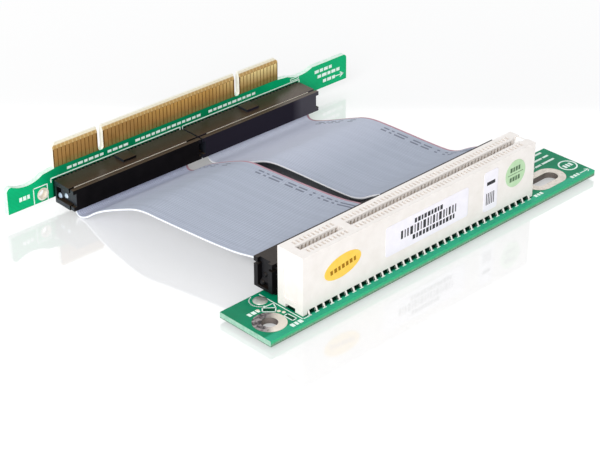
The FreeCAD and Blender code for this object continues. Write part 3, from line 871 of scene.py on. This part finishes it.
# Painted shade: the slits' floors are a darker tan than the housing
shaded_slit_ivory = plastic_paint("shaded_slit_ivory", rgb(228, 214, 196), rgb(214, 198, 178), 0.5, 0.1)
white_film = film_paint("label_white", rgb(248, 245, 252), rgb(242, 239, 247))
yellow_film = film_paint("sticker_yellow", rgb(254, 213, 94), rgb(250, 203, 74))
green_film = film_paint("sticker_green", rgb(197, 226, 188), rgb(182, 216, 172))
white_ink = ink_paint("print_white", rgb(240, 250, 245), rgb(222, 242, 232))
black_ink = ink_paint("print_black", rgb(44, 44, 48), rgb(66, 66, 70))
brown_ink = ink_paint("print_brown", rgb(150, 104, 16), rgb(170, 122, 24))
dark_green = ink_paint("mask_dark_green", rgb(2, 84, 56), rgb(0, 70, 46))
olive_ink = ink_paint("print_olive", rgb(84, 112, 84), rgb(104, 130, 100))
# The last two values are the colour and reach of the painted light near the card
near_grey = ribbon_paint("ribbon_near_grey", rgb(186, 191, 212), 28.0)
far_grey = ribbon_paint("ribbon_far_grey", rgb(206, 210, 226), 46.0)

painted(slot_green, "slot_board")
painted(card_green, "edge_card_board")
painted(finger_gold, "edge_contacts_front", "edge_contacts_rear")
painted(contact_gold, "slot_contacts_front", "slot_contacts_rear")
painted(bright_tin, "card_wire_eyelet")
painted(stained_tin, "mount_hole_plating", "mount_slot_plating")
painted(ivory, "slot_housing")
painted(white_film, "part_label", "bar_label")
painted(yellow_film, "oval_sticker")
painted(green_film, "round_sticker")

# Ribbons, connectors and solder

ribbon("ribbon_near_cable", -1, NEAR_OFFSET, NEAR_ROUTE, near_grey)
ribbon("ribbon_far_cable", 1, FAR_OFFSET, FAR_ROUTE, far_grey)
for side, where in ((-1, "near"), (1, "far")):
    for board, pair, face, rear, sign, tail, black, boss in (
        ("card", CARD_SOCKETS, on_card, behind_card, 1, CARD_TAIL, card_black, boss_highlight),
        ("slot", SLOT_SOCKETS, on_slot_board, under_slot_board, -1, SLOT_TAIL, slot_black, slot_black),
    ):
        middle = (pair[0] + side * SOCKET_STEP / 2, pair[1])
        painted(black, f"{board}_socket_body_{where}", f"{board}_socket_cover_{where}")
        socket_ribs(f"{board}_socket_ribs_{where}", face, middle, sign, black)
        for end, hand in ((-1, "left"), (1, "right")):
            socket_bosses(f"{board}_socket_bosses_{where}_{hand}", face, middle, sign, end, boss)
        solder_cones(f"{board}_socket_tails_{where}", rear, socket_pins(middle, sign), tail, tin)

# The slot's contacts, feet and slits

legs = Form(on_slot_board)
for sign, where in ((-1, "front"), (1, "rear")):
    places = [(x, sign * TAIL_ROWS[n % 2]) for n, x in enumerate(CONTACT_X)]
    solder_cones(f"slot_tails_{where}", under_slot_board, places, SLOT_TAIL, tin)
    for x, row in places:
        legs.slab(x - LEG_HALF_X, x + LEG_HALF_X, row - LEG_HALF_Y, row + LEG_HALF_Y, 0.0, FOOT_RISE)
legs.piece("slot_legs", shaded_leg_brown, "contact_gold")

feet = Form(lambda y, z, x: on_slot_board(x, y, z))
for sign in (-1, 1):
    root = sign * SLOT_HALF_WIDTH
    ramp = [(root, FOOT_RISE), (root, 0.0), (root + sign * FOOT_REACH, 0.0)]
    for x in FEET_X:
        feet.prism(ramp, x - FOOT_HALF, x + FOOT_HALF)
feet.piece("slot_feet", ivory, "slot_ivory")

for name, paint, start, end, (low, high) in (
    ("slot_slit_bridges", ivory, CHANNEL_HALF, SLIT_FROM, BRIDGE_Z),
    ("slot_slit_floors", shaded_slit_ivory, SLIT_FROM, SLIT_TO, SLIT_FLOOR_Z),
):
    form = Form(in_slot_frame)
    for sign in (-1, 1):
        near, far = sorted((sign * start, sign * end))
        for x in CONTACT_X:
            form.slab(x - SLIT_HALF, x + SLIT_HALF, near, far, SLOT_TOP + low, SLOT_TOP + high)
    form.piece(name, paint, "slot_ivory")

# Holes, pads and vias

lined_hole("mount_hole_lining", on_slot_board, HOLE_AT, HOLE_R, HOLE_PAD_R, shaded_wall_tin)
lined_hole("mount_slot_lining", on_slot_board, SLOTTED_AT, HOLE_R, HOLE_PAD_R, shaded_wall_tin, SLOTTED_HALF)
lined_hole("card_eyelet_lining", on_card, EYELET_AT, EYELET_R, EYELET_PAD_R, bright_tin)

solder = Form(on_slot_board)
solder.turned(WIRE_PAD_AT, WIRE_PAD_DOME, WIRE_PAD_SIDES)
solder.piece("wire_pad_solder", tin, "solder_tin", ("wire_pad",), smooth=True)
vias = Form(on_slot_board)
for at in VIAS_AT:
    vias.turned(at, VIA_DOME, VIA_SIDES)
vias.piece("slot_board_vias", bright_tin, "solder_tin", smooth=True)

# Print, with lines as (points, width) and rows of bars as (x, y, lengths, height, gap)

UPPER_OUTLINE = [(-46.8, 5.2), (-44.3, 3.05), (-45.6, 1.8), (-47.95, 3.95)]
LOWER_OUTLINE = [(-45.4, -0.95), (-44.1, -0.8), (-43.9, -3.8), (-45.3, -3.9)]
SLOT_BOARD_LINES = (
    ([(-43.1, 10.2), (-43.1, -5.2), (-40.4, -5.2)], 0.26),
    # Silk line before the feet, left out in front of the gaps as painted shade
    *(([(x - 0.65, -5.05), (x + 0.3, -5.05)], 0.3) for x in FEET_X),
    (arc_points(WIRE_PAD_AT, 2.75, 105, 250, 12), 0.28),
    (UPPER_OUTLINE + UPPER_OUTLINE[:1], 0.28),
    ([(-46.8, 5.2), (-43.4, 4.95), (-44.3, 3.05)], 0.28),
    (LOWER_OUTLINE + LOWER_OUTLINE[:1], 0.28),
    ([(61.8, -5.2), (65.4, -5.2)], 0.3),
    ([(64.3, -4.5), (65.4, -5.2), (64.3, -5.9)], 0.3),
)
SLOT_BOARD_ROWS = (
    (61.2, 0.0, (0.8, 0.7, 0.8), 1.6, 0.4),
    (-51.6, 5.0, (0.9, 1.1, 0.8), 1.3, 0.35),
    (-47.2, -5.35, (1.0, 0.8, 1.1), 1.3, 0.35),
    (42.8, -5.0, (0.9, 0.7, 0.8), 1.1, 0.35),
    (58.0, -5.1, (0.8, 0.9, 0.7), 1.1, 0.4),
    (46.5, 5.3, (3.2, 4.6, 2.4, 5.0), 0.7, 0.5),
    (46.5, 7.6, (4.8, 3.0, 5.4, 2.2), 0.7, 0.5),
    (46.5, 9.9, (2.6, 5.2, 3.4, 4.0), 0.7, 0.5),
)
RING_AT = (62.8, 0.0)
RING_PROFILE = ((2.75, 0.0), (2.75, INK_T), (2.3, INK_T), (2.3, 0.0))
RING_SIDES = 40
EDGE_CARD_LINES = (
    ([(-40.9, 8.2), (-40.9, 9.25), (3.1, 9.25), (3.1, 8.2)], 0.3),
    ([(4.0, 8.2), (4.0, 9.25), (48.0, 9.25), (48.0, 8.2)], 0.3),
    ([(-46.6, 3.7), (-46.6, 8.2), (-42.2, 8.2), (-42.2, 3.7)], 0.28),
    ([(62.8, 5.6), (65.6, 5.6)], 0.3),
    ([(64.6, 6.3), (65.8, 5.6), (64.6, 4.9)], 0.3),
    ([(44.6, 9.7), (47.8, 9.7), (47.8, 10.35), (44.6, 10.35), (44.6, 9.7)], 0.25),
)
EDGE_CARD_ROWS = (
    (-35.5, 10.5, (1.5, 1.2, 1.6, 1.1, 1.5, 1.3, 1.2), 0.75, 0.45),
    (-22.0, 10.5, (1.3, 1.6, 1.2, 1.5), 0.75, 0.45),
    (-12.5, 10.5, (1.6, 1.2, 1.5, 1.1, 1.4, 1.6, 1.2, 1.5, 1.3, 1.1, 1.6, 1.2, 1.4), 0.75, 0.45),
    (13.5, 10.5, (1.4, 1.1, 1.6, 1.3, 1.2, 1.5, 1.4, 1.1, 1.6, 1.2), 0.75, 0.45),
    (54.2, 9.4, (1.7, 1.3, 1.5, 1.2), 1.0, 0.4),
    (55.4, 7.6, (1.4, 1.8, 1.2, 1.6, 1.3), 1.0, 0.4),
    (57.6, 5.6, (1.3, 1.6, 1.2), 1.0, 0.4),
    (-51.2, 6.6, (0.9, 1.0, 0.8), 1.2, 0.3),
)
BAR_WIDTHS = (
    0.7, 0.35, 0.5, 0.95, 0.35, 0.7, 0.35, 0.95, 0.5, 0.35, 0.7, 0.35, 0.95, 0.5, 0.35, 0.7, 0.5, 0.35,
)
LABEL_ROWS = (
    (-3.8, 13.6, (0.8, 0.95, 0.6, 0.9, 0.95, 0.7, 0.85, 0.6, 0.9), 1.3, 0.38),
    (-8.7, 11.35, BAR_WIDTHS, 2.3, 0.6),
    (-4.4, 9.1, (0.9, 0.6, 0.95, 0.8, 0.9, 0.6, 0.95, 0.8, 0.9, 0.7, 0.95, 0.8, 0.6), 1.3, 0.42),
    (23.4, 13.4, (3.2,), 1.0, 0.0),
    (23.3, 8.9, (0.3,) * 5, 3.4, 0.4),
)
OVAL_ROWS = ((-4.3, -0.2, (0.8, 0.9, 0.7, 0.9, 0.8, 0.9, 0.7), 1.2, 0.5),)
ROUND_LINES = (([(31.8, 12.45), (37.7, 12.45)], 0.16),)
ROUND_ROWS = (
    (32.6, 13.8, (0.85, 0.65, 0.8, 0.7), 1.3, 0.3),
    (32.5, 11.0, (0.8, 0.85, 0.65, 0.8), 1.3, 0.3),
)

bare = Form(on_slot_board)
for corners in (UPPER_OUTLINE, LOWER_OUTLINE):
    bare.prism(corners[::-1], 0.0, BARE_T)
bare.piece("slot_board_bare_outlines", dark_green, "board_green")

slot_print = printed(on_slot_board, SLOT_BOARD_LINES, SLOT_BOARD_ROWS)
slot_print.turned(RING_AT, RING_PROFILE, RING_SIDES)
slot_print.piece("slot_board_print", white_ink, "label_white")
card_print = printed(on_card, EDGE_CARD_LINES, EDGE_CARD_ROWS)
card_print.piece("edge_card_print", white_ink, "label_white")
printed(on_label, (), LABEL_ROWS).piece("label_print", black_ink, "label_white")
printed(on_oval, (), OVAL_ROWS).piece("oval_sticker_print", brown_ink, "sticker_yellow")
printed(on_label, ROUND_LINES, ROUND_ROWS).piece("round_sticker_print", olive_ink, "sticker_green")


# Floor, light and camera

def floor():
    """Glossy white sheet that goes on past the picture; the camera sees it lifted to white."""
    mesh = bpy.data.meshes.new("floor")
    corners = ((-1, -1), (1, -1), (1, 1), (-1, 1))
    mesh.from_pydata([(x * FLOOR_HALF, y * FLOOR_HALF, 0) for x, y in corners], [], [(0, 1, 2, 3)])
    paint = Paint("floor_white", Roughness=0.05, IOR=2.9)
    place = paint.slot_place()
    x, y, _ = paint.parts(place)
    away = []
    for value, (low, high) in ((x, RIBBON_SHADE_X), (y, RIBBON_SHADE_Y)):
        half = (high - low) / 2
        offset = paint.size(paint.math("SUBTRACT", value, (low + high) / 2))
        away.append(paint.step(offset, half - RIBBON_SHADE_SOFT, half))
    clear = paint.math("MAXIMUM", *away)
    # Painted shade: the floor is darker below the ribbons
    paint.set(Base_Color=paint.mix(clear, FLOOR_SHADED, FLOOR_PALE))
    radius = paint.node("VectorMath", place, operation="LENGTH").outputs["Value"]
    share = paint.step(radius, *LIFT_RADIUS, LIFT_NEAR, 1.0)
    seen = paint.times(paint.node("LightPath").outputs["Is Camera Ray"], share)
    glow = paint.node("Emission", WHITE, 1.0)
    lifted = paint.node("MixShader", paint.times(clear, seen), paint.shader.outputs[0], glow.outputs[0])
    paint.join(lifted.outputs[0], paint.tree.nodes["Material Output"].inputs["Surface"])
    mesh.materials.append(paint.material)
    thing = bpy.data.objects.new("floor", mesh)
    thing.location.z = -FLOOR_DROP * MM
    bpy.context.scene.collection.objects.link(thing)


def white_world():
    """Soft light from all round, which the camera and reflections see as white."""
    world = bpy.data.worlds.new("studio")
    world.use_nodes = True
    sky = Nodes(world.node_tree)
    soft = sky.tree.nodes["Background"]
    sky.join(WORLD_COLOUR, soft.inputs["Color"])
    sky.join(WORLD_STRENGTH, soft.inputs["Strength"])
    white = sky.node("Background", WHITE)
    path = sky.node("LightPath").outputs
    seen = sky.math("MAXIMUM", path["Is Camera Ray"], path["Is Glossy Ray"])
    seen = sky.math("MAXIMUM", seen, path["Is Transmission Ray"])
    light = sky.node("MixShader", seen, soft.outputs[0], white.outputs[0])
    sky.join(light.outputs[0], sky.tree.nodes["World Output"].inputs["Surface"])
    bpy.context.scene.world = world


def soft_box(name, place, power, size):
    light = bpy.data.lights.new(name, "AREA")
    light.energy = power
    light.size = size
    lamp = bpy.data.objects.new(name, light)
    lamp.location = place
    lamp.rotation_euler = (TARGET - Vector(place)).to_track_quat("-Z", "Y").to_euler()
    bpy.context.scene.collection.objects.link(lamp)


def camera():
    lens = bpy.data.cameras.new("camera")
    lens.lens = LENS
    lens.sensor_width = SENSOR
    lens.sensor_fit = "HORIZONTAL"
    lens.clip_start = CLIP_START
    thing = bpy.data.objects.new("camera", lens)
    turn = (
        Matrix.Rotation(math.radians(AZIMUTH), 4, "Z")
        @ Matrix.Rotation(math.radians(90 - ELEVATION), 4, "X")
        @ Matrix.Rotation(math.radians(ROLL), 4, "Z")
    )
    back = turn.to_3x3() @ Vector((0, 0, 1))
    thing.matrix_world = Matrix.Translation(TARGET + back * DISTANCE) @ turn
    bpy.context.scene.collection.objects.link(thing)
    bpy.context.scene.camera = thing


floor()
white_world()
for box in SOFT_BOXES:
    soft_box(*box)
camera()
bpy.context.scene.view_settings.view_transform = "Standard"
